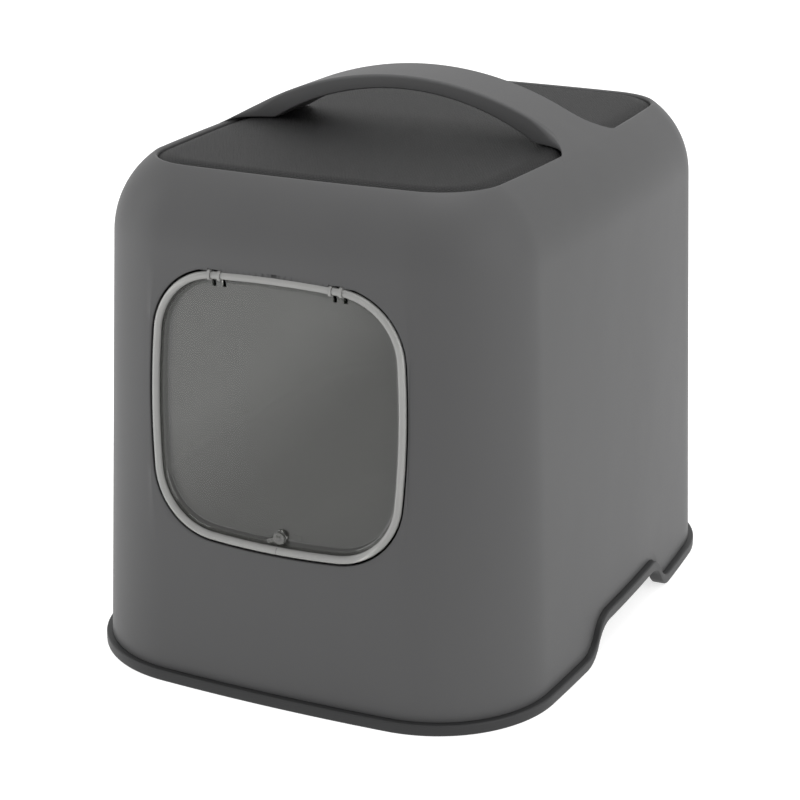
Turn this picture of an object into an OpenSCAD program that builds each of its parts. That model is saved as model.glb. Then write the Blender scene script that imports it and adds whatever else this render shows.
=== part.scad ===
// Hooded cat litter box: a pan with a turned-over rim, a hood with a moulded carrying handle,
// a textured top panel and a clear swing flap with a turn latch.
// X runs across, the door faces -Y, Z is up. The origin is on the floor, under the middle of the box.

/* [Overall size] */
// Width over the base flange
base_w = 400; // [360:5:440]
// Depth over the base flange, front to back
base_d = 525; // [470:5:580]
// Height of the crown of the carrying handle
total_h = 447.5; // [420:2.5:490]

/* [Plan outline] */
// Radius of the gentle bow of the front and the back
front_bow_r = 1640; // [1300:20:2200]
// Radius of the gentle bow of the two sides
side_bow_r = 2480; // [1800:20:3600]
// Corner radius of the base flange
corner_r = 103; // [90:1:120]

/* [Hood] */
// Thickness of the hood wall
hood_wall = 3; // [2:0.25:4]
// Draft of the hood wall from the vertical, in degrees
draft_a = 2.5; // [1:0.25:4]
// Radius of the shoulder between the wall and the top
shoulder_r = 75; // [65:1:85]
// Distance from the flange edge in to the edge of the top opening
lip_in = 54; // [50:1:60]

/* [Base flange and hand grips] */
// Height of the base flange
flange_h = 9; // [6:0.5:12]
// Distance that the flange stands out past the hood
flange_out = 5; // [3:0.5:8]
// Height that the lower edge rises over a hand grip
grip_rise = 26; // [18:1:34]
// Length of the straight top of a hand grip
grip_flat = 104; // [80:1:140]
// Length of the curve at each end of a hand grip
grip_run = 46; // [36:1:60]

/* [Pan] */
// Wall thickness of the pan
pan_wall = 2.5; // [2:0.25:3.5]
// Height of the pan rim
pan_h = 118; // [90:1:150]
// Width of the turned-over rim
rim_w = 15; // [12:0.5:20]
// Inward lean of the pan's inner wall, in degrees
pan_lean = 6; // [3:0.5:9]
// Play between the hood and the pan skirt
hood_play = 0.8; // [0.5:0.1:1.5]

/* [Carrying handle] */
// Width of the strap at the crown
strap_w = 60; // [46:1:76]
// Thickness of the strap at the crown
strap_t = 11; // [9:0.5:16]
// Height of the crown above the edge of the top opening
handle_rise = 43.5; // [38:0.5:54]
// Width of the finger opening where it meets the top panel
finger_span = 232; // [200:2:240]
// Extra width of each side of the strap where it joins the hood
foot_flare = 33; // [20:1:40]

/* [Top panel] */
// Thickness of the top panel
panel_t = 3; // [2:0.25:4]
// Height of the upturned panel face above its seat
panel_rise = 7; // [5:0.5:9]
// Gap round the top panel
panel_gap = 0.6; // [0.4:0.1:1.2]
// Width of the seat under the panel's edge
seat_w = 12; // [8:1:18]
// Width of the panel's rounded border
border_w = 15; // [10:1:20]
// Drop of the border from the panel's face to its edge
border_drop = 4; // [2:0.5:4.5]

/* [Swing flap] */
// Width of the flap
flap_w = 213; // [190:1:230]
// Height of the flap
flap_h = 213; // [190:1:230]
// Height of the flap's lower edge above the pan rim
sill_gap = 5; // [5:0.5:12]
// Corner radius of the flap
flap_r = 55; // [45:1:65]
// Radius of the bow of the flap's top and bottom edges
flap_bow_top = 790; // [600:10:1200]
// Radius of the bow of the flap's side edges
flap_bow_side = 670; // [500:10:1200]
// Radius of the round bead along the flap's edge
bead_r = 3; // [2.5:0.25:3.5]
// Depth of the pane behind the hood's face
pane_depth = 7.5; // [6:0.5:9]
// Thickness of the pane
pane_t = 2; // [1.5:0.25:3]
// Gap between the flap and the hood
flap_gap = 1.5; // [1.2:0.1:2]

/* [Hinge clips] */
// Distance of each hinge clip in from the end of the flap's top edge
clip_inset = 1.5; // [0:0.5:16]
// Distance between the two hooks of a clip
hook_pitch = 8.5; // [7:0.25:10]
// Width of one hook
hook_w = 2.4; // [2:0.1:3]
// Thickness of a hook round the bead
hook_t = 1.6; // [1.2:0.1:2]
// Running clearance of a hook on the bead
hook_fit = 0.06; // [0.02:0.01:0.1]

/* [Turn latch] */
// Distance of the latch axis right of the middle
latch_x = 3.5; // [0:0.5:8]
// Height of the latch axis above the flap's lower edge
latch_up = 12; // [11.5:0.5:16]
// Diameter of the latch hub
hub_d = 9.5; // [8:0.5:10]
// Length of the finger lever from the latch axis
lever_l = 10.5; // [9:0.5:12]
// Diameter of the latch shaft
shaft_d = 4.4; // [3.5:0.1:5.5]
// Running clearance of the shaft in the pane
shaft_fit = 0.05; // [0.02:0.01:0.1]

/* [Hidden] */

shade_hood = [0.42, 0.42, 0.43];
shade_dark = [0.22, 0.22, 0.23];
shade_clear = [0.72, 0.74, 0.72, 0.55];

half_w = base_w / 2;
half_d = base_d / 2;

// Plan outline: four bowed sides joined by four tangent corner arcs.
// Each arc is [centre, radius, first angle, last angle], anticlockwise from the front.
function corner_centre(hw, hd, rf, rs, rc) =
    let (cf = [0, rf - hd], cs = [hw - rs, 0], d = cs - cf, l = norm(d),
         a = ((rf - rc) ^ 2 - (rs - rc) ^ 2 + l * l) / (2 * l),
         h = sqrt((rf - rc) ^ 2 - a * a))
    cf + a * d / l + h * [-d.y, d.x] / l;
function arcs(hw, hd, rf, rs, rc) =
    let (c = corner_centre(hw, hd, rf, rs, rc),
         tf = atan2(c.y - (rf - hd), c.x),
         ts = atan2(c.y, c.x - (hw - rs)))
    [[[0, rf - hd], rf, -180 - tf, tf],
     [c, rc, tf, ts],
     [[hw - rs, 0], rs, ts, -ts],
     [[c.x, -c.y], rc, -ts, -tf],
     [[0, hd - rf], rf, -tf, 180 + tf],
     [[-c.x, -c.y], rc, 180 + tf, 180 + ts],
     [[rs - hw, 0], rs, 180 + ts, 180 - ts],
     [[-c.x, c.y], rc, 180 - ts, 180 - tf]];
// A point of an outline, its inward step and its arc's share of the way round
function arc_point(arc, t, step) =
    let (a = arc[2] + t * (arc[3] - arc[2])) arc[0] + (arc[1] - step) * [cos(a), sin(a)];
function outline(all_arcs, step, bow_n, corner_n) =
    [for (i = [0 : 7]) let (n = i % 2 == 0 ? bow_n : corner_n)
        for (k = [0 : n - 1]) arc_point(all_arcs[i], k / n, step)];

base_arcs = arcs(half_w, half_d, front_bow_r, side_bow_r, corner_r);
flap_arcs = arcs(flap_w / 2, flap_h / 2, flap_bow_top, flap_bow_side, flap_r);

// Hood wall line and shoulder arc, as [inward step from the flange edge, height]
slope = tan(draft_a);
lip_z = total_h - handle_rise;
wall_m = shoulder_r / cos(draft_a) + flange_out - lip_in - flange_h * slope;
shoulder_z = let (b = lip_z - wall_m * slope, q = 1 + slope * slope)
    (b - sqrt(b * b - q * (wall_m ^ 2 + lip_z ^ 2 - shoulder_r ^ 2))) / q;
shoulder_in = lip_in + wall_m + slope * shoulder_z;
lip_a = acos((shoulder_in - lip_in) / shoulder_r);
// The top edge is rounded by lip_round, and the panel lies a little below it
lip_round = 0.6;
panel_sunk = 1;
seat_z = lip_z - panel_rise - panel_sunk;
panel_top = seat_z + panel_rise;

function wall_in(z) = flange_out + (z - flange_h) * slope;
function face_y(x, z) =
    let (r = front_bow_r - wall_in(z)) front_bow_r - half_d - sqrt(r * r - x * x);

// Carrying handle: one arc from edge to edge of the top opening, and a tighter one under it
strap_sunk = 0.8;
crown_span = half_w - lip_in;
crown_h = handle_rise + strap_sunk;
crown_r = (crown_span ^ 2 + crown_h ^ 2) / (2 * crown_h);
crown_c = total_h - crown_r;
under_h = total_h - strap_t - panel_top;
under_r = ((finger_span / 2) ^ 2 + under_h ^ 2) / (2 * under_h);
under_c = panel_top + under_h - under_r;

// Flap hinge axis: the middle of the bead at the hinge clips
bead_back = 1.5;
clip_x = flap_w / 2 - flap_r - clip_inset;
flap_low_z = pan_h + sill_gap;
flap_top_z = flap_low_z + flap_h;
flap_z = flap_low_z + flap_h / 2;
axis_z = flap_top_z - flap_bow_top + sqrt((flap_bow_top - bead_r) ^ 2 - clip_x ^ 2);
axis_y = face_y(clip_x, axis_z) + bead_back;

// Latch axis, and the depths behind the hood's face of the two lands it turns between
latch_z = flap_low_z + latch_up;
latch_face = face_y(latch_x, latch_z);
boss_front = 2.5;
boss_back = 0.5;
land_front = pane_depth - boss_front;
land_back = pane_depth + pane_t + boss_back;
latch_play = 0.15;

// Points of an arc in a section
function arc_pts(c, r, a0, a1, n) =
    [for (k = [0 : n]) let (a = a0 + (a1 - a0) * k / n) c + r * [cos(a), sin(a)]];

// Closed skin over rings of equal length, joined in order, with flat ends or joined to a loop
module skin(rings, looped = false) {
    m = len(rings[0]);
    n = len(rings);
    points = [for (r = rings) for (p = r) p];
    sides = [for (i = [0 : (looped ? n : n - 1) - 1]) for (k = [0 : m - 1])
        let (j = (i + 1) % n, q = (k + 1) % m) each
        [[i * m + k, j * m + k, j * m + q], [i * m + k, j * m + q, i * m + q]]];
    ends = looped ? [] : [[for (k = [0 : m - 1]) k], [for (k = [m - 1 : -1 : 0]) (n - 1) * m + k]];
    polyhedron(points, concat(ends, sides), convexity = 6);
}

// Lower edge of a hand grip: a straight raised length with an S curve of two equal arcs at each end
grip_r = (grip_run ^ 2 + grip_rise ^ 2) / (4 * grip_rise);
grip_foot = grip_flat / 2 + grip_run;
function grip_lift(y) =
    let (u = min(grip_run, max(0, grip_foot - abs(y))), v = grip_run - u)
    u < grip_run / 2 ? grip_r - sqrt(grip_r ^ 2 - u * u)
                     : grip_rise - grip_r + sqrt(grip_r ^ 2 - v * v);

// Stations round the base outline, each [centre, radius, angle], closer together over the hand grips
bow_steps = 5;
corner_steps = 8;
curve_steps = 7;
function side_angles(a) =
    let (s_y = [for (k = [0 : curve_steps]) grip_foot - grip_run * k / curve_steps],
         ys = concat(s_y, [0], [for (k = [curve_steps : -1 : 0]) -s_y[k]]))
    concat([a[2]], [for (k = [len(ys) - 1 : -1 : 0])
        a[2] < 90 ? asin(ys[k] / a[1]) : 180 - asin(-ys[k] / a[1])]);
function even_angles(a, n) = [for (k = [0 : n - 1]) a[2] + k / n * (a[3] - a[2])];
stations = [for (i = [0 : 7]) let (a = base_arcs[i])
    for (t = i == 2 || i == 6 ? side_angles(a) : even_angles(a, i % 2 == 0 ? bow_steps : corner_steps))
        [a[0], a[1], t]];
function station_point(s, step) = s[0] + (s[1] - step) * [cos(s[2]), sin(s[2])];

// Ring of the outline at an inward step and a height; a riding ring climbs over the hand grips.
// The hood climbs a little higher than the pan, so that it beds on the straight parts.
pan_ride = 1;
hood_ride = 1.01;
function base_ring(p, ride = 0) = [for (s = stations)
    let (up = ride * grip_lift(station_point(s, 0).y),
         q = station_point(s, p[0] + up * slope)) [q.x, q.y, p[1] + up]];

// Section of the pan: floor, leaning inner wall, turned-over rim, skirt and flange
skirt_in = flange_out + hood_wall / cos(draft_a) + hood_play;
function skirt_at(z) = skirt_in + (z - flange_h) * slope;
rim_r = rim_w / 2;
rim_z = pan_h - rim_r;
rim_mid = skirt_at(rim_z) + rim_r;
floor_r = 16;
flange_c = 1.5;
wall_foot = rim_mid + rim_r + (rim_z - floor_r) * tan(pan_lean);
floor_in = wall_foot + floor_r - pan_wall;

module pan() {
    inner_skirt = skirt_at(flange_h) + pan_wall;
    under = concat(arc_pts([floor_in, floor_r], floor_r, 270, 180, 5),
        arc_pts([rim_mid, rim_z], rim_r - pan_wall, 0, 180, 6));
    flange = [[inner_skirt, 0], [flange_c, 0], [0, flange_c], [0, flange_h - flange_c],
        [flange_c, flange_h],
        [skirt_at(flange_h), flange_h]];
    inside = concat(arc_pts([rim_mid, rim_z], rim_r, 180, 0, 8),
        arc_pts([floor_in, floor_r], floor_r - pan_wall, 180, 270, 5));
    color(shade_dark) skin(concat([for (p = under) base_ring(p)],
        [for (p = flange) base_ring(p, pan_ride)], [for (p = inside) base_ring(p)]));
}

// Section of the hood: wall, shoulder, edge of the top opening and panel seat
inner_r = shoulder_r - hood_wall;
seat_low = seat_z - hood_wall;
seat_lap = 1.5;
lap_a = 9;
shoulder_c = [shoulder_in, shoulder_z];
hood_loop = concat(
    arc_pts(shoulder_c, shoulder_r, 180 - draft_a, 180 - lip_a, 9),
    [[lip_in + lip_round, lip_z - lip_round], [lip_in + lip_round, seat_z],
        [lip_in + seat_w, seat_z], [lip_in + seat_w, seat_low], [lip_in - seat_lap, seat_low]],
    arc_pts(shoulder_c, inner_r, 180 + lap_a - lip_a, 180 - draft_a, 7));

// Strap of the carrying handle, a rounded section that widens where it joins the hood
function strap_top(x) = crown_c + sqrt(crown_r ^ 2 - x * x);
function strap_under(x) = under_c + sqrt(max(0, under_r ^ 2 - x * x));
function strap_bottom(x) = max(panel_top + panel_gap, strap_under(x));
strap_end = crown_span + 1;
strap_least = 1.2;
flare_r = foot_flare * 1.3;
function strap_half(x) =
    let (u = min(1, max(0, abs(x) - (crown_span - flare_r)) / flare_r))
    strap_w / 2 + foot_flare * (1 - sqrt(1 - u * u));
strap_edge_r = 5;
strap_flat = 0.05;
function strap_ring(x, n = 3) =
    let (zt = strap_top(x), zb = min(strap_bottom(x), zt - strap_least), w = strap_half(x),
         r = min(strap_edge_r, (zt - zb) / 2 - strap_flat))
    [for (q = [0 : 3]) for (k = [0 : n])
        let (a = 90 * q + 90 * k / n)
        [x, (q == 0 || q == 3 ? w - r : r - w) + r * cos(a), (q < 2 ? zt - r : zb + r) + r * sin(a)]];
strap_steps = 20;
function strap_x(i) = let (u = i / strap_steps * 2 - 1) strap_end * sin(90 * u);

module strap() {
    skin([for (i = [0 : strap_steps]) strap_ring(strap_x(i))]);
}

// Outline of the flap in its own plane, moved in by a step
flap_bow_n = 5;
flap_corner_n = 8;
function flap_plan(step) = outline(flap_arcs, step, flap_bow_n, flap_corner_n);
function flap_outline(step) = [for (p = flap_plan(step)) [p.x, p.y + flap_z]];

// Frame of one hinge clip: X along the hinge axis, Y into the hood, Z up
module at_clip(side) {
    translate([side * clip_x, axis_y, axis_z]) children();
}

// Frame of the latch at a depth behind the hood's face, seen from the front, growing forward
module at_latch(depth) {
    translate([latch_x, latch_face + depth, latch_z]) rotate([90, 0, 0]) children();
}

// Seat of a clip on the hood's inner face, measured from the hinge axis
pad_w = 16;
pad_low = 7.6;
pad_h = 14;
wall_front = -bead_back;
wall_back = wall_front + hood_wall;
pad_t = 1.9;
pad_root = 0.7;
pad_back = wall_back + pad_t;
peg_d = 4;
peg_l = 2;
peg_fit = 0.05;
peg_room = 0.2;
peg_z = pad_low + pad_h / 2;
plate_t = 2.2;
plate_in = 0.5;
journal_r = bead_r - 0.5;
hook_in = journal_r + hook_fit;
hook_out = hook_in + hook_t;

module clip_pad(side) {
    at_clip(side) translate([-pad_w / 2, wall_back - pad_root, pad_low])
        cube([pad_w, pad_t + pad_root, pad_h]);
}

// Socket of the clip's peg, and the room round its hooks
hook_room = 0.5;
hook_side = 0.6;

module clip_cuts(side) {
    at_clip(side) {
        translate([0, pad_back - peg_l - peg_room, peg_z]) rotate([-90, 0, 0])
            cylinder(d = peg_d + 2 * peg_fit, h = peg_l + 1, $fn = 48);
        rotate([0, 90, 0]) cylinder(r = hook_out + hook_room,
            h = hook_pitch + hook_w + 2 * hook_side, center = true, $fn = 72);
    }
}

// Relief in the back of the wall over the flap, for the bead at the corners as it swings inward
relief_room = 1.9;
relief_r = hook_out + relief_room;
relief_x = clip_x + flap_r / 2;
wall_keep = 0.1;

module swing_relief() {
    translate([0, axis_y, axis_z]) intersection() {
        rotate([0, 90, 0]) cylinder(r = relief_r, h = 2 * relief_x, center = true, $fn = 96);
        translate([-relief_x - 1, wall_keep, -2 * relief_r])
            cube([2 * relief_x + 2, 2 * relief_r, 4 * relief_r]);
    }
}

// Shelf inside the sill, just above the pan's rim, with a slot that the latch tongue drops into
shelf_top = flap_low_z - flap_gap - 0.2;
shelf_low = pan_h + 0.6;
shelf_front = 1.5;
shelf_back = land_back + 7;
shelf_side = 9;
tongue_l = latch_z - shelf_low - 0.6;
tongue_w = 4;
cam_t = 2.2;
slot_room = 0.8;
slot_front = land_back - 0.6;
slot_d = cam_t + 1.5;
slot_side = tongue_w / 2 + slot_room;
slot_reach = sqrt(tongue_l ^ 2 - (latch_z - shelf_top) ^ 2) + slot_side;

module latch_shelf() {
    translate([latch_x - shelf_side, latch_face + shelf_front, shelf_low])
        cube([2 * shelf_side + slot_reach, shelf_back - shelf_front, shelf_top - shelf_low]);
}

module shelf_slot() {
    translate([latch_x - slot_side, latch_face + slot_front, shelf_low - 1])
        cube([slot_side + slot_reach, slot_d, shelf_top - shelf_low + 2]);
}

door_reach = 60;

module door_opening() {
    translate([0, door_reach - half_d, 0]) rotate([90, 0, 0])
        linear_extrude(door_reach + 1) polygon(flap_outline(-flap_gap));
}

module hood() {
    color(shade_hood) difference() {
        union() {
            difference() {
                union() {
                    skin(concat([base_ring([flange_out, flange_h], hood_ride)],
                        [for (p = hood_loop) base_ring(p)],
                        [base_ring([flange_out + hood_wall / cos(draft_a), flange_h], hood_ride)]),
                        looped = true);
                    strap();
                }
                door_opening();
                swing_relief();
            }
            for (side = [-1, 1]) clip_pad(side);
            latch_shelf();
        }
        for (side = [-1, 1]) clip_cuts(side);
        shelf_slot();
    }
}

// Top panel: a shallow cap with a rounded border, seated in the top opening under the handle
panel_in = lip_in + lip_round + panel_gap;
panel_foot = 5;

module top_panel() {
    under = [[panel_in + border_w, panel_top - panel_t], [panel_in + panel_foot, seat_z],
        [panel_in, seat_z]];
    over = [for (a = [180 : -15 : 90])
        [panel_in + border_w * (1 + cos(a)), panel_top - border_drop * (1 - sin(a))]];
    color(shade_dark) skin([for (p = concat(under, over)) base_ring(p)]);
}

// Section of the flap as [inward step, depth behind the hood's face], from the back of the pane
// round the bead to the front of the pane
pane_in = 11;
pane_back = pane_depth + pane_t;
flap_loop = concat(
    [[pane_in, pane_back], [7.6, pane_back], [5.6, pane_back - 0.5], [4.2, pane_back - 2.5]],
    arc_pts([bead_r, bead_back], bead_r, 125, 370, 9),
    [[6.6, pane_depth - 3.3], [7.6, pane_depth - 1.5], [9, pane_depth - 0.3],
        [pane_in, pane_depth]]);
function flap_ring(s, share = 1) = [for (p = flap_plan(s[0]))
    let (x = p.x * share, z = p.y * share + flap_z) [x, face_y(x, z) + s[1], z]];
pane_shares = [0.05, 0.38, 0.72];

module flap_skin() {
    back = [for (k = pane_shares) flap_ring([pane_in, pane_back], k)];
    front = [for (k = [2 : -1 : 0]) flap_ring([pane_in, pane_depth], pane_shares[k])];
    skin(concat(back, [for (p = flap_loop) flap_ring(p)], front));
}

// Slots through the bead for the hooks, and the journals that bridge them
slot_w = hook_w + 0.6;
slot_r = hook_out + 1.2;
slot_h = 10;
journal_lap = 1.5;

module hook_slots() {
    for (side = [-1, 1], k = [-1, 1]) at_clip(side) translate([k * hook_pitch / 2, 0, 0]) {
        rotate([0, 90, 0]) cylinder(r = slot_r, h = slot_w, center = true, $fn = 72);
        translate([-slot_w / 2, -bead_r, -slot_h]) cube([slot_w, 2 * pane_back, slot_h]);
    }
}

module journals() {
    for (side = [-1, 1], k = [-1, 1]) at_clip(side) translate([k * hook_pitch / 2, 0, 0])
        rotate([0, 90, 0]) cylinder(r = journal_r, h = hook_w + 2 * journal_lap, center = true, $fn = 72);
}

land_l = land_back - land_front;
boss_rim = 0.75;

module flap() {
    color(shade_clear) difference() {
        union() {
            difference() {
                flap_skin();
                hook_slots();
            }
            journals();
            at_latch(land_back) cylinder(d = hub_d + 2 * boss_rim, h = land_l, $fn = 72);
        }
        at_latch(land_back + 1)
            cylinder(d = shaft_d + 2 * shaft_fit, h = land_l + 2, $fn = 72);
    }
}

// Section of one hook: a ring open at the back and below, with an arm down from the clip's plate
gap_a = [-70, -25, 20];
arm_lap = 1.3;
arm_t = 1.6;
arm_low = 1.8;
arm_out = pad_back + plate_t;

module hook_profile() {
    difference() {
        circle(r = hook_out, $fn = 72);
        circle(r = hook_in, $fn = 72);
        polygon(concat([[0, 0]], [for (a = gap_a) 2 * hook_out * [cos(a), sin(a)]]));
    }
    arm_in = pad_back - arm_lap;
    polygon([[arm_in, arm_low], [arm_in + arm_t, arm_low], [arm_out, pad_low], [arm_out, pad_low + 1],
        [pad_back, pad_low + 1], [pad_back, pad_low - 0.2], [arm_in, pad_low - 2]]);
}

module hinge_clip(side) {
    color(shade_clear) at_clip(side) {
        for (k = [-1, 1]) translate([k * hook_pitch / 2 - hook_w / 2, 0, 0])
            rotate([90, 0, 90]) linear_extrude(hook_w) hook_profile();
        translate([plate_in - pad_w / 2, pad_back, pad_low + plate_in])
            cube([pad_w - 2 * plate_in, plate_t, pad_h - 2 * plate_in]);
        translate([0, pad_back - peg_l, peg_z]) rotate([-90, 0, 0])
            cylinder(d = peg_d, h = peg_l + 1, $fn = 48);
    }
}

module hinge_clip_left() {
    hinge_clip(-1);
}

module hinge_clip_right() {
    hinge_clip(1);
}

// Latch: finger lever and shaft in one piece, and the tongue that its square end turns
hub_back = land_front - latch_play;
hub_t = hub_back - 0.2;
lever_a = 200;
lever_w = 3.4;
lever_up = 1.6;
rib_t = 1.2;
rib_rise = 0.6;
rib_ends = [1.6, 4.4];
notch_a = [60, 120];
notch_in = 1.4;
notch_l = 2;
notch_w = 1;
square_w = 3;
square_fit = 0.05;
cam_front = land_back + latch_play;
cam_back = cam_front + cam_t;
snap_t = 1.2;
snap_d = shaft_d + 0.4;
tip_back = cam_back + latch_play;

module latch_ribs() {
    for (r = rib_ends)
        at_latch(hub_back - lever_up) rotate(lever_a)
            translate([lever_l - r, -lever_w / 2, 0]) cube([rib_t, lever_w, hub_t - lever_up + rib_rise]);
}

module latch_lever() {
    color(shade_clear) {
        difference() {
            union() {
                at_latch(hub_back) cylinder(d = hub_d, h = hub_t, $fn = 72);
                at_latch(hub_back - lever_up) rotate(lever_a)
                    translate([0, -lever_w / 2, 0]) cube([lever_l, lever_w, hub_t - lever_up]);
                latch_ribs();
            }
            for (a = notch_a) at_latch(1.2) rotate(a)
                translate([notch_in, -notch_w / 2, 0]) cube([notch_l, notch_w, hub_t]);
        }
        at_latch(cam_front) cylinder(d = shaft_d, h = cam_front - land_front + 1, $fn = 72);
        at_latch(tip_back) translate([-square_w / 2, -square_w / 2, 0])
            cube([square_w, square_w, cam_t + latch_play + 1]);
        at_latch(tip_back + snap_t) cylinder(d1 = square_w, d2 = snap_d, h = snap_t, $fn = 72);
    }
}

module latch_cam() {
    hole_w = square_w + 2 * square_fit;
    color(shade_clear) difference() {
        union() {
            at_latch(cam_back) cylinder(d = hub_d, h = cam_t, $fn = 72);
            at_latch(cam_back) translate([0, -tongue_w / 2, 0]) cube([tongue_l, tongue_w, cam_t]);
        }
        at_latch(cam_back + 1) translate([-hole_w / 2, -hole_w / 2, 0]) cube([hole_w, hole_w, cam_t + 2]);
    }
}

pan();
hood();
top_panel();
flap();
hinge_clip_left();
hinge_clip_right();
latch_lever();
latch_cam();
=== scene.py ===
"""Hooded litter box: pan, hood with a moulded handle, dimpled top panel and clear swing flap.

Lengths in the classes are millimetres, and a mesh is brought to metres as it is finished.
X runs across, the door faces -Y, Z is up, and the origin is on the floor under the box's middle.
"""

import logging
import math
from bisect import bisect_right
from collections.abc import Sequence
from dataclasses import dataclass
from enum import Enum
from functools import cached_property

import bmesh
import bpy
from mathutils import Matrix, Vector


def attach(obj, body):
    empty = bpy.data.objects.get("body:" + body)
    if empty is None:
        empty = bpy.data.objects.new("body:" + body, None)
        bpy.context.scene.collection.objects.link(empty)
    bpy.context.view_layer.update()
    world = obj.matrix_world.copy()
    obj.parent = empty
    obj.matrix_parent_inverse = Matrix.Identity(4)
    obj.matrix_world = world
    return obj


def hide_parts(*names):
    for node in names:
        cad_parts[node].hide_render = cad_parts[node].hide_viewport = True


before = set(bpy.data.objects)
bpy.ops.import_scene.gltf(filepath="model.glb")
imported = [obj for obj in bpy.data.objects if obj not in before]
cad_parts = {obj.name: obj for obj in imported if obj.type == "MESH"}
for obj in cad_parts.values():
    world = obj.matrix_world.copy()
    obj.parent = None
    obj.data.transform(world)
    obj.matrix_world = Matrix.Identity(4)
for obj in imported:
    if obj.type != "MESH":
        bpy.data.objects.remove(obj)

LOG = logging.getLogger("litter_box")
# Metres in a millimetre
MM = 0.001
# Points that are closer than this are one point
CLOSE = 0.001
# An edge that turns by more than this stays sharp
SHARP = math.radians(40)
# Signs of the left and the right side
SIDES = (-1, 1)
Pair = tuple[float, float]
Triple = tuple[float, float, float]
Mesh = bmesh.types.BMesh
Ring = list[Vector]
Loop = list[bmesh.types.BMVert]


class Join(Enum):
    """The ways to combine two solids."""

    ADD = "UNION"
    CUT = "DIFFERENCE"


class Body(Enum):
    """The moving bodies of the box, by their names in the frame."""

    PAN = "pan"
    HOOD = "hood"
    FLAP = "flap"
    LATCH = "latch"


@dataclass(frozen=True)
class Station:
    """A place on an outline, with the centre and radius of the arc that it lies on."""

    centre: Vector
    radius: float
    angle: float

    def at(self, step: float) -> Vector:
        """Returns the point an inward step from the outline."""
        reach = self.radius - step
        return self.centre + reach * Vector((math.cos(self.angle), math.sin(self.angle)))


@dataclass(frozen=True)
class Outline:
    """Four bowed sides and their tangent corner arcs, anticlockwise from the lower left corner."""

    width: float
    height: float
    bow_ends: float
    bow_sides: float
    corner: float

    @cached_property
    def arcs(self) -> list[tuple[Vector, float, float, float]]:
        """The eight arcs, each as centre, radius, first angle and last angle."""
        half_w, half_h = self.width / 2, self.height / 2
        low = Vector((0, self.bow_ends - half_h))
        side = Vector((half_w - self.bow_sides, 0))
        across = side - low
        span = across.length
        reach_low, reach_side = self.bow_ends - self.corner, self.bow_sides - self.corner
        along = (reach_low**2 - reach_side**2 + span**2) / (2 * span)
        off = math.sqrt(reach_low**2 - along**2)
        unit = across / span
        c = low + along * unit + off * Vector((-unit.y, unit.x))
        a_low = math.atan2(c.y - low.y, c.x)
        a_side = math.atan2(c.y, c.x - side.x)
        half = [
            (low, self.bow_ends, -math.pi - a_low, a_low),
            (c, self.corner, a_low, a_side),
            (side, self.bow_sides, a_side, -a_side),
            (Vector((c.x, -c.y)), self.corner, -a_side, -a_low),
        ]
        return half + [(-mid, r, first + math.pi, last + math.pi) for mid, r, first, last in half]

    def stations(self, bow_gap: float = 1.0, corner_gap: float = 0.5) -> list[Station]:
        """Spreads stations round the outline.

        Args:
            bow_gap: Distance between stations on the bowed sides.
            corner_gap: Distance between stations on the corner arcs.

        Returns:
            The stations in order, anticlockwise.
        """
        found = []
        for index, (centre, radius, first, last) in enumerate(self.arcs):
            gap = corner_gap if index % 2 else bow_gap
            count = max(2, round(abs(last - first) * radius / gap))
            found += [Station(centre, radius, first + (last - first) * k / count)
                      for k in range(count)]
        return found

    def toward(self, angle: float, step: float) -> Vector:
        """Returns the point of the stepped-in outline that lies in a direction from the middle."""
        angles, points = self._table(step)
        wanted = angle % math.tau
        i = bisect_right(angles, wanted) % len(angles)
        a, b = points[i - 1], points[i]
        before, after = angles[i - 1], angles[i]
        share = ((wanted - before) % math.tau) / ((after - before) % math.tau)
        return a.lerp(b, share)

    def _table(self, step: float) -> tuple[list[float], list[Vector]]:
        """Returns fine points of the outline and their directions, in order of direction."""
        pairs = []
        for station in self.stations():
            p = station.at(step)
            pairs.append((math.atan2(p.y, p.x) % math.tau, p))
        pairs.sort(key=lambda pair: pair[0])
        return [a for a, _ in pairs], [p for _, p in pairs]


def arc_points(centre: Pair, radius: float, first: float, last: float, count: int) -> list[Pair]:
    """Returns count + 1 points of an arc in a section, with its angles in degrees."""
    angles = [math.radians(first + (last - first) * k / count) for k in range(count + 1)]
    return [(centre[0] + radius * math.cos(a), centre[1] + radius * math.sin(a)) for a in angles]


def round_pairs(loop: Sequence) -> list[tuple]:
    """Returns each item of a closed loop with the one after it."""
    return [(loop[i], loop[(i + 1) % len(loop)]) for i in range(len(loop))]


def extrude_loop(bm: Mesh, loop: Loop, places: Ring) -> Loop:
    """Extrudes a closed loop of edges and puts the new one in its place.

    Args:
        bm: The mesh that holds the loop.
        loop: The loop's vertices in order.
        places: Where the new vertices go, one for each vertex of the loop.

    Returns:
        The new loop's vertices in the same order.
    """
    edges = [bm.edges.get(pair) or bm.edges.new(pair) for pair in round_pairs(loop)]
    made = bmesh.ops.extrude_edge_only(bm, edges=edges)["geom"]
    new = {v for v in made if isinstance(v, bmesh.types.BMVert)}
    out = []
    for vert, place in zip(loop, places):
        twin = next(e.other_vert(vert) for e in vert.link_edges if e.other_vert(vert) in new)
        twin.co = place
        out.append(twin)
    return out


def loft(bm: Mesh, rings: Sequence[Ring], capped: bool = False) -> list[Loop]:
    """Makes a skin over rings by extruding the first one along the others.

    Args:
        bm: The mesh that the skin goes into.
        rings: The rings in order.
        capped: Whether a face closes the first and the last ring.

    Returns:
        Every loop of the skin.
    """
    loops = [[bm.verts.new(p) for p in rings[0]]]
    for ring in rings[1:]:
        loops.append(extrude_loop(bm, loops[-1], ring))
    if capped:
        bm.faces.new(loops[0])
        bm.faces.new(loops[-1])
    return loops


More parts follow.
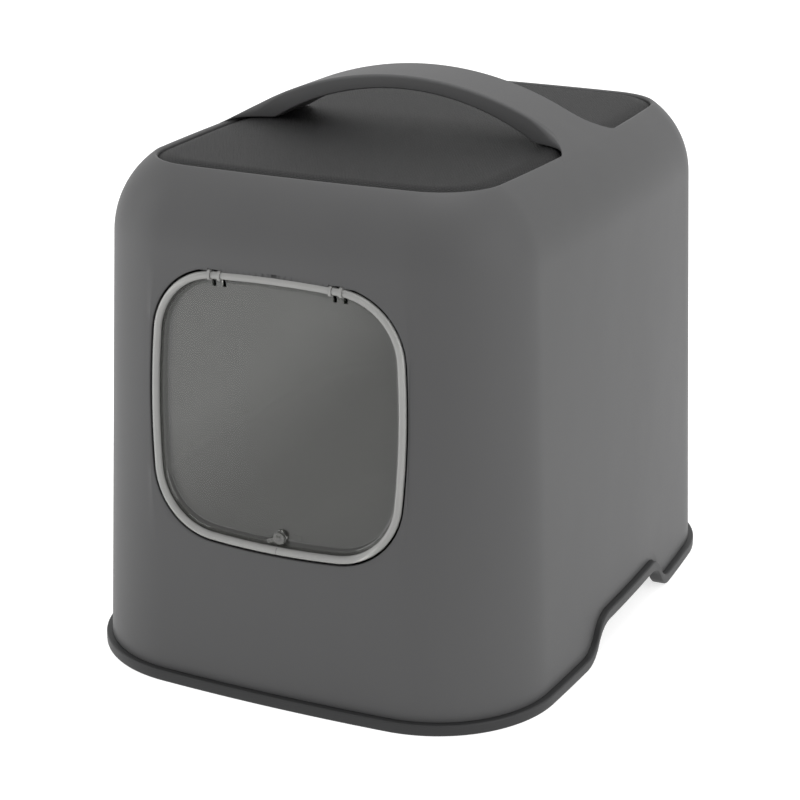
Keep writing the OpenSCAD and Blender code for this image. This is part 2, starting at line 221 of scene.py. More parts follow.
def add_object(name: str, data: bpy.types.ID) -> bpy.types.Object:
    """Links a new object of a mesh, a camera or a light to the scene."""
    item = bpy.data.objects.new(name, data)
    bpy.context.scene.collection.objects.link(item)
    return item


def mesh_object(name: str, bm: Mesh) -> bpy.types.Object:
    """Links a new object to the scene that takes over a mesh under construction."""
    mesh = bpy.data.meshes.new(name)
    bm.to_mesh(mesh)
    bm.free()
    return add_object(name, mesh)


def combine(base: Mesh, how: Join, *tools: Mesh) -> Mesh:
    """Combines a closed mesh with others, one after the other, and frees them all.

    Args:
        base: The solid to work on.
        how: Whether the others are added or cut away.
        tools: The other solids.

    Returns:
        A new mesh.
    """
    for tool in tools:
        for part in (base, tool):
            bmesh.ops.remove_doubles(part, verts=part.verts, dist=CLOSE)
            bmesh.ops.recalc_face_normals(part, faces=part.faces)
        first, second = mesh_object("base", base), mesh_object("tool", tool)
        step = first.modifiers.new("combine", "BOOLEAN")
        step.object = second
        step.operation = how.value
        step.solver = "MANIFOLD"
        graph = bpy.context.evaluated_depsgraph_get()
        base = bmesh.new()
        base.from_mesh(first.evaluated_get(graph).data)
        for item in (first, second):
            mesh = item.data
            bpy.data.objects.remove(item)
            bpy.data.meshes.remove(mesh)
    return base


def block(low: Sequence[float], high: Sequence[float], edge: float = 0) -> Mesh:
    """Returns a box between two corners, with its edges rounded by a radius."""
    bm = bmesh.new()
    bmesh.ops.create_cube(bm, size=1)
    size = Vector(high) - Vector(low)
    bmesh.ops.scale(bm, vec=size, verts=bm.verts)
    bmesh.ops.translate(bm, vec=Vector(low) + size / 2, verts=bm.verts)
    round_edges(bm, list(bm.edges), edge)
    return bm


def drum(radius: float, start: Sequence[float], push: Vector, edge: float = 0, sides: int = 64,
         radius_end: float | None = None) -> Mesh:
    """Makes a round bar or a cone.

    Args:
        radius: Its radius.
        start: The middle of its first end.
        push: The way from its first end to its last one.
        edge: Radius that the rims are rounded by.
        sides: Number of sides.
        radius_end: Radius of the last end, if it isn't the same.

    Returns:
        The closed mesh.
    """
    bm = bmesh.new()
    end = radius if radius_end is None else radius_end
    bmesh.ops.create_cone(bm, cap_ends=True, segments=sides, radius1=radius, radius2=end,
                          depth=push.length)
    round_edges(bm, [e for e in bm.edges if abs(e.verts[0].co.z - e.verts[1].co.z) < CLOSE], edge)
    turn = push.to_track_quat("Z", "Y").to_matrix().to_4x4()
    shift = Matrix.Translation(Vector(start) + push / 2)
    bmesh.ops.transform(bm, matrix=shift @ turn, verts=bm.verts)
    return bm


def slab(outline: Sequence[Vector], push: Vector, edge: float = 0) -> Mesh:
    """Returns a flat outline pushed out to a solid, with its edges rounded by a radius."""
    bm = bmesh.new()
    face = bm.faces.new([bm.verts.new(p) for p in outline])
    made = bmesh.ops.extrude_face_region(bm, geom=[face])["geom"]
    bmesh.ops.translate(bm, vec=push, verts=[v for v in made if isinstance(v, bmesh.types.BMVert)])
    bmesh.ops.recalc_face_normals(bm, faces=bm.faces)
    round_edges(bm, list(bm.edges), edge)
    return bm


def round_edges(bm: Mesh, edges: list[bmesh.types.BMEdge], radius: float) -> None:
    """Rounds edges of a mesh by a radius, if it isn't zero."""
    if radius:
        bmesh.ops.bevel(bm, geom=edges, offset=radius, offset_type="OFFSET", segments=3,
                        profile=0.5, affect="EDGES", clamp_overlap=True, material=-1)


def finish_piece(bm: Mesh, name: str, body: Body, finishes: Sequence["Finish"],
                 replaced: Sequence[str]) -> None:
    """Merges, turns, scales and links a mesh, and ties it to the frame.

    Args:
        bm: The mesh in millimetres, which is freed.
        name: The name of the new object.
        body: The moving body that the piece rides on.
        finishes: The finishes of the piece.
        replaced: The frame's nodes that the piece stands for.
    """
    bmesh.ops.remove_doubles(bm, verts=bm.verts, dist=CLOSE)
    bmesh.ops.recalc_face_normals(bm, faces=bm.faces)
    bmesh.ops.scale(bm, vec=Vector((MM, MM, MM)), verts=bm.verts)
    for face in bm.faces:
        face.smooth = True
    for edge in bm.edges:
        edge.smooth = len(edge.link_faces) == 2 and edge.calc_face_angle(0) < SHARP
    piece = mesh_object(name, bm)
    for finish in finishes:
        piece.data.materials.append(finish.build())
    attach(piece, body.value)
    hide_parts(*replaced)
    LOG.info("%s: %d faces", name, len(piece.data.polygons))


class Value:
    """A shader value that takes part in arithmetic by adding Math nodes."""

    def __init__(self, tree: bpy.types.NodeTree, socket: bpy.types.NodeSocket) -> None:
        """Wraps an output socket of a node tree."""
        self.tree = tree
        self.socket = socket

    def math(self, operation: str, *others: "Value | float") -> "Value":
        """Adds a Math node on this value and the others."""
        node = self.tree.nodes.new("ShaderNodeMath")
        node.operation = operation
        for index, item in enumerate((self, *others)):
            if isinstance(item, Value):
                self.tree.links.new(item.socket, node.inputs[index])
            else:
                node.inputs[index].default_value = item
        return Value(self.tree, node.outputs[0])

    def __add__(self, other: "Value | float") -> "Value":
        """Returns the sum."""
        return self.math("ADD", other)

    __radd__ = __add__

    def __sub__(self, other: "Value | float") -> "Value":
        """Returns the difference."""
        return self.math("SUBTRACT", other)

    def __rsub__(self, other: float) -> "Value":
        """Returns a number less this value."""
        return self.math("MULTIPLY_ADD", -1.0, other)

    def __mul__(self, other: "Value | float") -> "Value":
        """Returns the product."""
        return self.math("MULTIPLY", other)

    __rmul__ = __mul__

    def __truediv__(self, other: "Value | float") -> "Value":
        """Returns the quotient."""
        return self.math("DIVIDE", other)

    def clamp(self) -> "Value":
        """Returns the value held between 0 and 1."""
        return self.math("MAXIMUM", 0.0).math("MINIMUM", 1.0)


class Shader:
    """A material under construction."""

    def __init__(self, name: str) -> None:
        """Starts a material with one Principled surface."""
        self.material = bpy.data.materials.new(name)
        self.material.use_nodes = True
        self.tree = self.material.node_tree
        self.surface = self.tree.nodes["Principled BSDF"]
        self.coordinates = self.node("ShaderNodeTexCoord").outputs["Object"]

    def node(self, kind: str, settings: dict | None = None, **values: object) -> bpy.types.Node:
        """Adds a node.

        Args:
            kind: The node's type.
            settings: The node's own settings, which are set first.
            values: Values or links of its inputs, by socket name with spaces as underscores.

        Returns:
            The new node.
        """
        node = self.tree.nodes.new(kind)
        for key, setting in (settings or {}).items():
            setattr(node, key, setting)
        for key, value in values.items():
            self.feed(node.inputs[key.replace("_", " ")], value)
        return node

    def feed(self, target: bpy.types.NodeSocket, value: object) -> None:
        """Gives an input socket a value or a link."""
        if isinstance(value, Value):
            self.tree.links.new(value.socket, target)
        elif isinstance(value, bpy.types.NodeSocket):
            self.tree.links.new(value, target)
        else:
            target.default_value = value

    def noise(self, size: float, detail: float = 2.0, stretch: Triple = (1, 1, 1)) -> Value:
        """Returns noise from 0 to 1 with features of a size in metres."""
        place = self.node("ShaderNodeMapping", Vector=self.coordinates, Scale=stretch)
        node = self.node("ShaderNodeTexNoise", Vector=place.outputs["Vector"], Scale=1 / size,
                         Detail=detail, Roughness=0.55)
        return Value(self.tree, node.outputs[0])

    def axes(self) -> list[Value]:
        """Returns the X and the Y of the object's own coordinates."""
        split = self.node("ShaderNodeSeparateXYZ", Vector=self.coordinates)
        return [Value(self.tree, split.outputs[axis]) for axis in "XY"]

    def blend(self, share: Value, low: tuple, high: tuple) -> bpy.types.NodeSocket:
        """Returns a colour between two, by a share from 0 to 1."""
        node = self.tree.nodes.new("ShaderNodeMix")
        node.data_type = "RGBA"
        factor, first, second = (s for s in node.inputs if s.enabled)
        self.feed(factor, share)
        first.default_value = (*low, 1)
        second.default_value = (*high, 1)
        return next(s for s in node.outputs if s.enabled)

    def bump(self, height: Value, depth: float,
             below: bpy.types.Node | None = None) -> bpy.types.Node:
        """Adds a Bump node for a height from 0 to 1 that is a depth in metres, over another."""
        node = self.node("ShaderNodeBump", Height=height, Strength=1.0, Distance=depth)
        if below is not None:
            self.tree.links.new(below.outputs["Normal"], node.inputs["Normal"])
        return node

    def set(self, **values: object) -> None:
        """Sets or links sockets of the Principled surface."""
        for key, value in values.items():
            self.feed(self.surface.inputs[key.replace("_", " ")], value)


def tinted(colour: Triple, share: float) -> Triple:
    """Returns a colour made lighter or darker by a share."""
    return tuple(channel * share for channel in colour)


@dataclass(frozen=True)
class MouldedPlastic:
    """Injection-moulded plastic with a fine grain and a faint flow mottle."""

    name: str
    colour: Triple
    roughness: float = 0.5
    grain: float = 0.0007
    grain_depth: float = 0.00006
    mottle: float = 0.06
    flow_size: float = 0.09
    wave_size: float = 0.05
    wave_depth: float = 0.0004
    gloss: float = 0.5

    def build(self) -> bpy.types.Material:
        """Returns the material."""
        shader = Shader(self.name)
        flow = shader.noise(self.flow_size, 3.0, (1, 1, 0.4))
        grain = shader.noise(self.grain)
        dark, light = tinted(self.colour, 1 - self.mottle), tinted(self.colour, 1 + self.mottle)
        soft = shader.bump(shader.noise(self.wave_size, 1.0), self.wave_depth)
        fine = shader.bump(grain, self.grain_depth, soft)
        rough = self.roughness + (flow - 0.5) * 0.1 + (grain - 0.5) * 0.12
        shader.set(Base_Color=shader.blend(flow, dark, light), Roughness=rough,
                   Normal=fine.outputs["Normal"], Specular_IOR_Level=self.gloss)
        return shader.material


@dataclass(frozen=True)
class DimpledPlastic:
    """Dark moulded plastic with staggered, slightly wavy rows of small round nubs, whose tops carry
    a painted highlight.
    """

    name: str
    colour: Triple
    pitch: float = 0.0024
    row_share: float = 0.866
    nub_share: float = 0.36
    waves: Pair = (0.006, 0.0075)
    depth: float = 0.0006
    roughness: float = 0.55
    gloss: float = 0.18

    def build(self) -> bpy.types.Material:
        """Returns the material."""
        shader = Shader(self.name)
        x, y = (axis + (shader.noise(size) - 0.5) * self.pitch
                for axis, size in zip(shader.axes(), self.waves))
        row_gap = self.pitch * self.row_share
        row = (y / row_gap).math("FLOOR")
        shift = row.math("FLOORED_MODULO", 2.0) * 0.5
        across = (x / self.pitch + shift).math("FRACT") - 0.5
        along = ((y / row_gap).math("FRACT") - 0.5) * self.row_share
        distance = (across * across + along * along).math("SQRT")
        nub = (1.0 - distance / self.nub_share).clamp()
        dome = nub * (2.0 - nub)
        fine = shader.bump(shader.noise(0.0008), 0.00005)
        relief = shader.bump(dome, self.depth, fine)
        # Painted highlight and shade: the nubs are painted lighter and the ground between them
        # darker, for the light that the raised nubs catch.
        base = shader.blend(dome, tinted(self.colour, 0.8), tinted(self.colour, 1.12))
        shader.set(Base_Color=base, Roughness=self.roughness - dome * 0.08,
                   Normal=relief.outputs["Normal"], Specular_IOR_Level=self.gloss)
        return shader.material


@dataclass(frozen=True)
class ClearPlastic:
    """Polished clear plastic with a smoke tint and faint moulding waves."""

    name: str
    tint: Triple
    roughness: float
    clearness: float

    def build(self) -> bpy.types.Material:
        """Returns the material."""
        shader = Shader(self.name)
        wave = shader.noise(0.03, 2.0)
        scuff = shader.noise(0.004, 4.0, (1, 1, 0.3))
        base = shader.blend(wave, tinted(self.tint, 0.97), tinted(self.tint, 1.03))
        relief = shader.bump(wave, 0.0001)
        shader.set(Base_Color=base, Roughness=self.roughness + scuff * 0.02, IOR=1.49,
                   Normal=relief.outputs["Normal"], Transmission_Weight=self.clearness)
        return shader.material


Finish = MouldedPlastic | DimpledPlastic | ClearPlastic


@dataclass
class Shell:
    """Sizes that the pan, the hood and the top panel share, and the rings of their outline."""

    plan: Outline = Outline(400, 525, 1640, 2480, 103)
    draft: float = 2.5
    total_h: float = 447.5
    flange_h: float = 9
    flange_out: float = 5
    hood_wall: float = 3
    shoulder_r: float = 75
    lip_in: float = 54
    lip_step: float = 0.6
    handle_rise: float = 43.5
    panel_rise: float = 7
    panel_sunk: float = 1
    grip_rise: float = 26
    grip_flat: float = 104
    grip_run: float = 46
    hood_ride: float = 1.01
    bow_gap: float = 5.0
    corner_gap: float = 4.5

    def __post_init__(self) -> None:
        """Works out the shoulder, the lip and the stations."""
        self.slope = math.tan(math.radians(self.draft))
        self.lip_z = self.total_h - self.handle_rise
        self.seat_z = self.lip_z - self.panel_rise - self.panel_sunk
        self.panel_top = self.seat_z + self.panel_rise
        offset = self.shoulder_r / math.cos(math.radians(self.draft))
        m = offset + self.flange_out - self.lip_in - self.flange_h * self.slope
        q = 1 + self.slope**2
        b = self.lip_z - m * self.slope
        root = math.sqrt(b * b - q * (m * m + self.lip_z**2 - self.shoulder_r**2))
        self.shoulder_z = (b - root) / q
        self.shoulder_in = self.lip_in + m + self.slope * self.shoulder_z
        self.lip_a = math.degrees(math.acos((self.shoulder_in - self.lip_in) / self.shoulder_r))
        self.wall_top_z = self.shoulder_z + self.shoulder_r * math.sin(math.radians(self.draft))
        self.stations = self.plan.stations(self.bow_gap, self.corner_gap)

    def wall_in(self, z: float) -> float:
        """Returns the inward step of the hood's outer face at a height."""
        return self.flange_out + (z - self.flange_h) * self.slope

    def face_y(self, x: float, z: float) -> float:
        """Returns where the hood's front face lies at a place seen from the front."""
        r = self.plan.bow_ends - self.wall_in(z)
        return self.plan.bow_ends - self.plan.height / 2 - math.sqrt(r * r - x * x)

    def grip_lift(self, y: float) -> float:
        """Returns how far the lower edge rises at a distance along the side."""
        r = (self.grip_run**2 + self.grip_rise**2) / (4 * self.grip_rise)
        u = min(self.grip_run, max(0.0, self.grip_flat / 2 + self.grip_run - abs(y)))
        if u < self.grip_run / 2:
            return r - math.sqrt(r * r - u * u)
        v = self.grip_run - u
        return self.grip_rise - r + math.sqrt(r * r - v * v)

    def ring(self, step: float, z: float, ride: float = 0) -> Ring:
        """Returns a ring of the outline.

        Args:
            step: Inward step from the outline.
            z: Height of the ring.
            ride: Share of the hand grips' rise that the ring climbs.

        Returns:
            The ring's points.
        """
        ring = []
        for station in self.stations:
            up = ride * self.grip_lift(station.at(0).y)
            ring.append(Vector((*station.at(step + up * self.slope), z + up)))
        return ring


@dataclass
class Pan:
    """The tray: flange, skirt, turned-over rim, leaning wall and floor in one moulding."""

    shell: Shell
    wall: float = 2.5
    height: float = 118
    rim_w: float = 15
    lean: float = 6
    play: float = 0.8
    floor_r: float = 16
    edge_r: float = 1.5
    edge_in: float = 1.65
    foot_cut: float = 0.8
    finish: MouldedPlastic = MouldedPlastic("pan_dark_grey", (0.02, 0.0202, 0.0208), gloss=0.3)

    def build(self) -> None:
        """Builds the pan."""
        s = self.shell
        skirt_in = s.flange_out + s.hood_wall / math.cos(math.radians(s.draft)) + self.play
        rim_r = self.rim_w / 2
        rim_z = self.height - rim_r
        rim_mid = skirt_in + (rim_z - s.flange_h) * s.slope + rim_r
        foot = rim_mid + rim_r + (rim_z - self.floor_r) * math.tan(math.radians(self.lean))
        floor_in = foot + self.floor_r - self.wall
        under = arc_points((floor_in, self.floor_r), self.floor_r, 270, 180, 8)
        under += arc_points((rim_mid, rim_z), rim_r - self.wall, 0, 180, 10)
        foot_in, edge = skirt_in + self.wall, self.edge_r
        flange = [(foot_in, self.foot_cut), (foot_in - self.foot_cut, 0)]
        flange += arc_points((self.edge_in, edge), edge, 270, 180, 4)
        flange += arc_points((self.edge_in, s.flange_h - edge), edge, 180, 90, 4)
        flange += [(skirt_in, s.flange_h)]
        inside = arc_points((rim_mid, rim_z), rim_r, 180, 0, 16)
        inside += arc_points((floor_in, self.floor_r), self.floor_r - self.wall, 180, 270, 8)
        rings = [s.ring(*p) for p in under]
        rings += [s.ring(*p, 1) for p in flange]
        rings += [s.ring(*p) for p in inside]
        bm = bmesh.new()
        loft(bm, rings, capped=True)
        finish_piece(bm, "pan_tray", Body.PAN, [self.finish], ["pan"])


@dataclass
class DoorOpening:
    """The door opening and the flap's outline, both seen from the front."""

    width: float = 213
    height: float = 213
    low_z: float = 123
    bow_ends: float = 790
    bow_sides: float = 670
    corner: float = 55
    gap: float = 1.5

    def __post_init__(self) -> None:
        """Works out the outline and its middle."""
        self.outline = Outline(self.width, self.height, self.bow_ends, self.bow_sides, self.corner)
        self.mid_z = self.low_z + self.height / 2


@dataclass
class Hinge:
    """The hinge line at the top of the flap, with the sizes of its journals, hooks and pads."""

    shell: Shell
    door: DoorOpening
    bead_r: float = 3
    bead_depth: float = 1.5
    clip_inset: float = 1.5
    hook_pitch: float = 8.5
    hook_w: float = 2.4
    hook_t: float = 1.6
    hook_fit: float = 0.06
    pad_w: float = 16
    pad_low: float = 7.6
    pad_h: float = 14
    pad_t: float = 1.9
    plate_t: float = 2.2
    peg_r: float = 2
    peg_l: float = 2

    def __post_init__(self) -> None:
        """Works out the hinge line and the radii."""
        d = self.door
        self.clip_x = d.width / 2 - d.corner - self.clip_inset
        top = d.low_z + d.height
        self.axis_z = top - d.bow_ends + math.sqrt((d.bow_ends - self.bead_r) ** 2 - self.clip_x**2)
        self.axis_y = self.shell.face_y(self.clip_x, self.axis_z) + self.bead_depth
        self.journal_r = self.bead_r - 0.5
        self.hook_in = self.journal_r + self.hook_fit
        self.hook_out = self.hook_in + self.hook_t
        self.wall_back = self.shell.hood_wall - self.bead_depth
        self.pad_back = self.wall_back + self.pad_t

    def place(self, side: int, x: float, y: float, z: float) -> Vector:
        """Returns a point given from the middle of one clip's hinge line."""
        return Vector((side * self.clip_x + x, self.axis_y + y, self.axis_z + z))

    def hooks(self) -> list[tuple[int, float]]:
        """Returns the side and the offset from its clip's middle of each hook."""
        return [(side, k * self.hook_pitch / 2) for side in SIDES for k in SIDES]

    def peg(self, side: int, play: float = 0, deep: float = 0, edge: float = 0) -> Mesh:
        """Returns a clip's peg, or the socket for it, which has some play and is deeper."""
        mid_z = self.pad_low + self.pad_h / 2
        start = self.place(side, 0, self.pad_back - self.peg_l - deep, mid_z)
        return drum(self.peg_r + play, start, Vector((0, self.peg_l + 1, 0)), edge, 48)

    def bar(self, side: int, offset: float, radius: float, width: float) -> Mesh:
        """Returns a round bar on the hinge line, about an offset from a clip's middle."""
        start = self.place(side, offset - width / 2, 0, 0)
        return drum(radius, start, Vector((width, 0, 0)), 0, 72)


@dataclass
class LatchPlace:
    """Where the turn latch sits in the pane, and the depths that its two halves turn between."""

    shell: Shell
    door: DoorOpening
    x: float = 3.5
    up: float = 12
    hub_r: float = 4.75
    shaft_r: float = 2.2
    play: float = 0.15
    land_front: float = 5
    land_back: float = 10

    def __post_init__(self) -> None:
        """Works out the height of the axis and the hood's face there."""
        self.z = self.door.low_z + self.up
        self.face = self.shell.face_y(self.x, self.z)

    def place(self, x: float, depth: float, z: float) -> Vector:
        """Returns a point given from the latch axis at a depth behind the hood's face."""
        return Vector((self.x + x, self.face + depth, self.z + z))

    def bar(self, radius: float, back: float, front: float, edge: float = 0) -> Mesh:
        """Returns a round bar on the latch axis between two depths."""
        return drum(radius, self.place(0, back, 0), Vector((0, front - back, 0)), edge)


@dataclass
class Hood:
    """The cover: drafted wall, round shoulder, seat of the panel, door opening and handle."""

    shell: Shell
    door: DoorOpening
    hinge: Hinge
    latch: LatchPlace
    strap_w: float = 60
    strap_t: float = 11
    finger_span: float = 232
    flare: float = 33
    seat_w: float = 12
    edge_r: float = 0.8
    strap_edge_r: float = 2.6
    foot_edge_r: float = 6
    lip_r: float = 2.4
    overlap: float = 6
    dive_slope: float = 1.5
    flare_stretch: float = 1.3
    wall_rows: int = 34
    relief_gap: float = 1.9
    room_w: float = 12.1
    shelf_side: float = 9
    slot_side: float = 2.8
    slot_w: float = 3.7
    finish: MouldedPlastic = MouldedPlastic("hood_mid_grey", (0.061, 0.061, 0.0618), gloss=0.25)

    def section(self) -> list[Triple]:
        """Returns the hood's closed section as inward step, height and share of the grips' rise."""
        s, r, rows = self.shell, self.edge_r, self.wall_rows
        low_in = s.flange_out
        inner_low = s.flange_out + s.hood_wall / math.cos(math.radians(s.draft))
        first_z = s.flange_h + r
        span = s.wall_top_z - first_z
        outer = [(low_in + r, s.flange_h, s.hood_ride),
                 (low_in + 0.3 * r, s.flange_h + 0.3 * r, s.hood_ride)]
        for k in range(rows + 1):
            z = first_z + span * k / rows
            outer.append((s.wall_in(z), z, s.hood_ride * (1 - k / rows) ** 2))
        centre = (s.shoulder_in, s.shoulder_z)
        lip_x = s.lip_in + s.lip_step
        reach = s.shoulder_r - self.lip_r
        bend_a = math.acos((lip_x - self.lip_r - s.shoulder_in) / reach)
        bend_c = (lip_x - self.lip_r, s.shoulder_z + reach * math.sin(bend_a))
        bend_a = math.degrees(bend_a)
        wall_a = 180 - s.draft
        outer += [(*p, 0) for p in arc_points(centre, s.shoulder_r, wall_a, bend_a, 18)[1:]]
        outer += [(*p, 0) for p in arc_points(bend_c, self.lip_r, bend_a, 0, 8)[1:]]
        seat_in, under_z = s.lip_in + self.seat_w, s.seat_z - s.hood_wall
        seat = [(lip_x, s.seat_z + 1.0), (lip_x + 1.0, s.seat_z), (seat_in - r, s.seat_z),
                (seat_in, s.seat_z - r), (seat_in, under_z), (s.lip_in - 1.5, under_z)]
        inner = seat + arc_points(centre, s.shoulder_r - s.hood_wall, 189 - s.lip_a, wall_a, 12)
        inner = [(*p, 0) for p in inner]
        top_z = inner[-1][1]
        for k in range(rows + 1):
            z = top_z + (first_z - top_z) * k / rows
            inner.append((s.wall_in(z) + inner_low - low_in, z, s.hood_ride * (k / rows) ** 2))
        return outer + inner + [(inner_low - 0.3, s.flange_h, s.hood_ride)]

    def build(self) -> None:
        """Builds the hood and its handle in one mesh."""
        s = self.shell
        bm = bmesh.new()
        section = self.section()
        loops = loft(bm, [s.ring(*p) for p in section])
        extrude_loop(bm, loops[-1], [v.co.copy() for v in loops[0]])
        walls = self.window_rows(section)
        openings = [self.cut_window(bm, loops, rows) for rows in walls]
        self.line_door(bm, *openings)
        bm = self.add_fittings(bm)
        self.add_handle(bm)
        finish_piece(bm, "hood_cover", Body.HOOD, [self.finish], ["hood"])

    def window_rows(self, section: list[Triple]) -> list[tuple[int, int]]:
        """Returns the first and last row of the door's window in the outer and the inner wall."""
        s = self.shell
        low, high = self.door.low_z - 10, s.wall_top_z - 2
        found = []
        half = next(i for i, p in enumerate(section) if p[1] >= s.lip_z - 3)
        for span in (range(0, half), range(half, len(section))):
            rows = [i for i in span
                    if low <= section[i][1] <= high and section[i][0] < s.lip_in / 2]
            found.append((rows[0], rows[-1]))
        return found

    def cut_window(self, bm: Mesh, loops: list[Loop], rows: tuple[int, int]) -> Loop:
        """Removes the faces round the door from one wall.

        Args:
            bm: The hood's mesh.
            loops: Its loops, by row.
            rows: First and last row of the window.

        Returns:
            The window's edge, in order.
        """
        half = self.door.width / 2 + 9
        places = [station.at(0) for station in self.shell.stations]
        columns = [i for i, p in enumerate(places) if p.y < 0 and abs(p.x) < half]
        columns.sort(key=lambda i: places[i].x)
        first, last = rows
        low, high = loops[first], loops[last]
        edge = [low[c] for c in columns]
        edge += [loops[r][columns[-1]] for r in range(first + 1, last)]
        edge += [high[c] for c in reversed(columns)]
        edge += [loops[r][columns[0]] for r in range(last - 1, first, -1)]
        inside = set()
        for r in range(first, last):
            for a, b in zip(columns, columns[1:]):
                corners = {loops[r][a], loops[r][b], loops[r + 1][a], loops[r + 1][b]}
                inside.update(f for f in loops[r][a].link_faces if set(f.verts) == corners)
        bmesh.ops.delete(bm, geom=list(inside), context="FACES")
        return edge

    def line_door(self, bm: Mesh, outer: Loop, inner: Loop) -> None:
        """Joins both windows to the door's edge with a rounded lining."""
        s, d = self.shell, self.door
        r = self.edge_r
        thick = s.hood_wall / math.cos(math.radians(s.draft))
        rounding = [(-d.gap - 0.3 * r, 0.3 * r), (-d.gap, r), (-d.gap, thick - r)]
        loop = self.close_in(bm, outer, -d.gap - r, 0)
        for step, depth in rounding:
            loop = extrude_loop(bm, loop, self.on_face(loop, step, depth))
        back = self.close_in(bm, inner, -d.gap - 0.4, thick)
        edges = [bm.edges.get(pair) for pair in round_pairs(loop) + round_pairs(back)]
        bmesh.ops.bridge_loops(bm, edges=edges)

    def close_in(self, bm: Mesh, loop: Loop, step: float, depth: float, count: int = 5) -> Loop:
        """Grows the wall from the window's edge to the door's outline, even along the bowed face.

        Args:
            bm: The hood's mesh.
            loop: The window's edge.
            step: Inward step of the last ring from the flap's outline.
            depth: Depth behind the hood's face.
            count: Number of rings.

        Returns:
            The last ring.
        """
        first = [v.co.copy() for v in loop]
        last = self.on_face(loop, step, depth)
        for k in range(1, count + 1):
            ring = []
            for a, b in zip(first, last):
                p = a.lerp(b, k / count)
                ring.append(Vector((p.x, self.shell.face_y(p.x, p.z) + depth, p.z)))
            loop = extrude_loop(bm, loop, ring)
        return loop

    def on_face(self, loop: Loop, step: float, depth: float) -> Ring:
        """Returns points on the door's outline in the directions of a loop's vertices."""
        places = []
        for vert in loop:
            p = self.door.outline.toward(math.atan2(vert.co.z - self.door.mid_z, vert.co.x), step)
            z = p.y + self.door.mid_z
            places.append(Vector((p.x, self.shell.face_y(p.x, z) + depth, z)))
        return places

    def add_fittings(self, bm: Mesh) -> Mesh:
        """Adds the clips' pads and sockets, the relief over the flap and the latch's shelf."""
        h, t, d = self.hinge, self.latch, self.door
        pads = [block(h.place(side, -h.pad_w / 2, h.wall_back - 0.7, h.pad_low),
                      h.place(side, h.pad_w / 2, h.pad_back, h.pad_low + h.pad_h), 0.5)
                for side in SIDES]
        bm = combine(bm, Join.ADD, *pads)
        low_x = h.clip_x + d.corner / 2
        near = 0.1
        relief_r = h.hook_out + self.relief_gap
        arc = [p for p in arc_points((0, 0), relief_r, -90, 90, 48) if p[0] > near]
        half_disc = [(near, arc[0][1]), *arc, (near, arc[-1][1])]
        relief = [Vector((-low_x, h.axis_y + y, h.axis_z + z)) for y, z in half_disc]
        bm = combine(bm, Join.CUT, slab(relief, Vector((2 * low_x, 0, 0))))
        shelf_top, shelf_low = d.low_z - d.gap - 0.2, d.low_z - 4.4
        reach = t.z - shelf_low - 0.6
        slot_reach = math.sqrt(reach**2 - (t.z - shelf_top) ** 2) + self.slot_side
        shelf_x = t.x + self.shelf_side + slot_reach
        shelf = block((t.x - self.shelf_side, t.face + 1.5, shelf_low),
                      (shelf_x, t.face + t.land_back + 7, shelf_top), 0.6)
        slot_y = t.face + t.land_back - 0.6
        slot = block((t.x - self.slot_side, slot_y, shelf_low - 1),
                     (t.x + slot_reach, slot_y + self.slot_w, shelf_top + 1))
        bm = combine(bm, Join.ADD, combine(shelf, Join.CUT, slot))
        for side in SIDES:
            room = h.bar(side, 0, h.hook_out + 0.5, self.room_w)
            bm = combine(bm, Join.CUT, room, h.peg(side, 0.05, 0.2))
        return bm

    def strap_top(self, x: float) -> float:
        """Returns the height of the handle's top, an arc that runs tangent into the shoulder's."""
        s = self.shell
        if x <= self.meet_x:
            return s.total_h - self.crown_r + math.sqrt(self.crown_r**2 - x * x)
        away = x - self.shoulder_x
        dive = max(0.0, x - self.meet_x - self.overlap)
        cover = 0.03 - self.dive_slope * dive
        return s.shoulder_z + math.sqrt(s.shoulder_r**2 - away * away) + cover

    def strap_ring(self, x: float, low: float) -> Ring:
        """Returns one ring of the handle, bowed in plan as the lip is.

        Args:
            x: Where the ring crosses the middle of the handle.
            low: Height of the handle's underside there.

        Returns:
            The ring's points.
        """
        s = self.shell
        span = s.plan.width / 2 - s.lip_in
        flare_r = self.flare * self.flare_stretch
        bow_r = s.plan.bow_sides - s.lip_in
        top = self.strap_top(abs(x))
        u = min(1.0, max(0.0, abs(x) - (span + self.lip_r - flare_r)) / flare_r)
        half = self.strap_w / 2 + self.flare * (1 - math.sqrt(1 - u * u))
        thick = top - min(low, top - 1.2)
        swell = math.sin(math.pi * u**1.5)
        upper = min(self.strap_edge_r + (self.foot_edge_r - self.strap_edge_r) * swell, thick * 0.6)
        under = min(1.5, thick * 0.3)
        flat = half - upper
        points = arc_points((flat, top - upper), upper, 0, 90, 8)
        even = [flat * k / 8 for k in range(7, -8, -1)]
        points += [(y, top) for y in (flat - 1, *even, 1 - flat)]
        points += arc_points((-flat, top - upper), upper, 90, 180, 8)
        points += arc_points((under - half, top - thick + under), under, 180, 270, 4)
        points += arc_points((half - under, top - thick + under), under, 270, 360, 4)
        ring = []
        for y, z in points:
            bow = bow_r - math.sqrt(bow_r**2 - y * y)
            ring.append(Vector((x - math.copysign(bow, x) * min(1.0, abs(x) / span), y, z)))
        return ring

